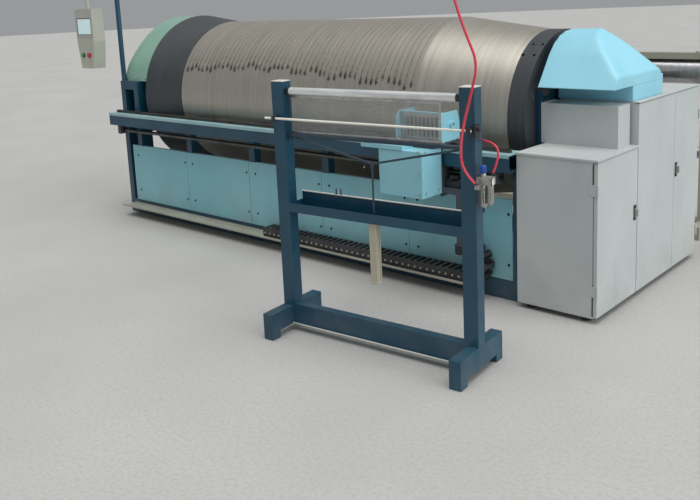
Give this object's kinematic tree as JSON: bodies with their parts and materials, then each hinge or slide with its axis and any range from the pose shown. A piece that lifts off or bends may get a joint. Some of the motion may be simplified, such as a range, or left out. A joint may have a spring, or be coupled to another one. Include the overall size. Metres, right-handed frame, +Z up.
{
  "type": "sectional warping machine",
  "caption": "Horizontal warping drum with a fixed cone, a traversing section reed carriage on a front rail, a leasing stand and a beaming unit behind it.",
  "frame": {"origin": "on the floor under the middle of the drum, below its axis", "axes": "+X along the drum towards the drive end, +Y towards the beaming side, +Z up"},
  "size_m": [4.613, 3.7311, 1.96],
  "materials": {
    "drum_dark": "semi-gloss black enamel on rolled plate",
    "yarn": "grey-brown spun yarn laid side by side",
    "steel": "bright turned or drawn steel",
    "castings": "machined cast iron, dark paint",
    "frame_blue": "dark petrol blue enamel",
    "rail_pale": "pale blue-green enamel",
    "panel_teal": "grey-blue enamel on folded sheet",
    "screw_zinc": "zinc-plated",
    "cream": "cream enamel",
    "chain_black": "moulded nylon links",
    "cabinet_grey": "light grey powder coat",
    "hood_blue": "light blue gel coat",
    "cover_green": "light blue-green enamel",
    "carriage_blue": "light blue enamel",
    "saddle_dark": "dark grey enamel",
    "black_parts": "black moulded or blacked parts",
    "motor_grey": "blue-grey enamel",
    "belt": "black belt",
    "gear_mixed": "zinc plate with grey modules",
    "rod_white": "off-white",
    "cylinder_cream": "cream anodised body",
    "unit_mixed": "die-cast body with clear bowls",
    "knob_blue": "blue moulding",
    "hose_red": "red air hose",
    "pendant_beige": "beige-grey enamel",
    "button_green": "green moulding",
    "button_red": "red moulding"
  },
  "bodies": {
    "frame": {"side_frames": "frame_blue", "machine_frame": "frame_blue", "rail_cover": "rail_pale", "guide_rail": "steel", "traverse_screw": "steel", "bearing_housings": "castings", "brake_caliper": "castings", "front_panels": "panel_teal", "panel_screws": "screw_zinc", "chain_tray": "cream", "drag_chain": "chain_black", "low_cabinet": "cabinet_grey", "tall_cabinet": "cabinet_grey", "cabinet_tops": "cabinet_grey", "switch_box": "cabinet_grey", "cabinet_feet": "black_parts", "door_hinges": "cabinet_grey", "control_gear": "gear_mixed", "drive_motor": "motor_grey", "drive_belt": "belt", "drive_hood": "hood_blue", "tail_cover": "cover_green", "stand_frame": "frame_blue", "rod_and_caps": "rod_white", "tool_tray": "frame_blue", "stand_brackets": "black_parts", "lift_cylinder": "cylinder_cream", "air_unit": "unit_mixed", "supply_hose": "hose_red", "unit_hose": "hose_red", "hose_hanger": "saddle_dark", "beaming_frame": "cream"},
    "drum": {"drum_shell": "drum_dark", "drum_cone": "drum_dark", "warp_pack": "yarn", "drum_shaft": "steel", "brake_disc": "steel", "drum_pulley": "castings"},
    "motor_pulley": {"motor_pulley": "castings"},
    "low_door": {"low_door": "cabinet_grey"},
    "low_latch": {"low_door_latch": "black_parts"},
    "tall_front_door": {"tall_front_door": "cabinet_grey"},
    "tall_rear_door": {"tall_rear_door": "cabinet_grey"},
    "tall_latch": {"tall_door_latch": "black_parts"},
    "carriage": {"carriage_saddle": "saddle_dark", "carriage_cover": "carriage_blue", "reed_cheeks": "carriage_blue", "section_reed": "steel", "traverse_motor": "black_parts"},
    "measuring_roller": {"measuring_roller": "steel"},
    "top_roller": {"top_roller": "steel"},
    "reed_lift": {"leasing_reed": "steel", "reed_yoke": "saddle_dark"},
    "pressure_knob": {"pressure_knob": "knob_blue"},
    "beaming_roller": {"beaming_roller": "steel"},
    "warp_beam": {"warp_beam": "steel"},
    "pendant": {"pendant_arm": "pendant_beige", "pendant_box": "pendant_beige"},
    "start_button": {"start_button": "button_green"},
    "stop_button": {"stop_button": "button_red"}
  },
  "joints": [
    {"name": "drum_spin", "type": "hinge", "parent": "frame", "child": "drum", "pos_m": [0, 0, 1], "axis": [1, 0, 0], "continuous": true},
    {"name": "motor_spin", "type": "hinge", "parent": "frame", "child": "motor_pulley", "pos_m": [1.99, 0.33, 0.26], "axis": [1, 0, 0], "continuous": true},
    {"name": "low_door_hinge", "type": "hinge", "parent": "frame", "child": "low_door", "pos_m": [2.258, -0.711, 0.45], "axis": [0, 0, 1], "range_deg": [-110, 0]},
    {"name": "low_latch_turn", "type": "hinge", "parent": "low_door", "child": "low_latch", "pos_m": [2.253, -0.244, 0.505], "axis": [-1, 0, 0], "range_deg": [0, 90]},
    {"name": "tall_front_door_hinge", "type": "hinge", "parent": "frame", "child": "tall_front_door", "pos_m": [2.256, -0.211, 0.57], "axis": [0, 0, 1], "range_deg": [-100, 0]},
    {"name": "tall_rear_door_hinge", "type": "hinge", "parent": "frame", "child": "tall_rear_door", "pos_m": [2.258, 0.696, 0.57], "axis": [0, 0, 1], "range_deg": [0, 110]},
    {"name": "tall_latch_turn", "type": "hinge", "parent": "tall_rear_door", "child": "tall_latch", "pos_m": [2.253, 0.342, 0.64], "axis": [1, 0, 0], "range_deg": [0, 90]},
    {"name": "carriage_traverse", "type": "slide", "parent": "frame", "child": "carriage", "axis": [1, 0, 0], "range_m": [-2.45, 0.17]},
    {"name": "measuring_spin", "type": "hinge", "parent": "carriage", "child": "measuring_roller", "pos_m": [1.24, -0.745, 1.01], "axis": [1, 0, 0], "continuous": true},
    {"name": "top_roller_spin", "type": "hinge", "parent": "frame", "child": "top_roller", "pos_m": [1.50844, -1.5903, 1.286], "axis": [0.9951, 0.0993, 0], "continuous": true},
    {"name": "reed_lift_slide", "type": "slide", "parent": "frame", "child": "reed_lift", "axis": [0, 0, 1], "range_m": [-0.12, 0]},
    {"name": "pressure_turn", "type": "hinge", "parent": "frame", "child": "pressure_knob", "pos_m": [2.11483, -1.53882, 0.96], "axis": [0, 0, 1], "range_deg": [-720, 720]},
    {"name": "beaming_roller_spin", "type": "hinge", "parent": "frame", "child": "beaming_roller", "pos_m": [0.13, 1.27, 1.13], "axis": [1, 0, 0], "continuous": true},
    {"name": "warp_beam_spin", "type": "hinge", "parent": "frame", "child": "warp_beam", "pos_m": [0, 1.48, 0.52], "axis": [1, 0, 0], "continuous": true},
    {"name": "pendant_swing", "type": "hinge", "parent": "frame", "child": "pendant", "pos_m": [-2.039, -0.622, 1.92], "axis": [0, 0, 1], "range_deg": [-40, 50]},
    {"name": "start_press", "type": "slide", "parent": "pendant", "child": "start_button", "axis": [0, 1, 0], "range_m": [0, 0.004], "stiffness_N_per_m": 500, "springref_m": -0.004},
    {"name": "stop_press", "type": "slide", "parent": "pendant", "child": "stop_button", "axis": [0, 1, 0], "range_m": [0, 0.004], "stiffness_N_per_m": 500, "springref_m": -0.004}
  ],
  "couplings": [
    {"joint": "motor_spin", "follows": "drum_spin", "ratio": 2.4865}
  ]
}
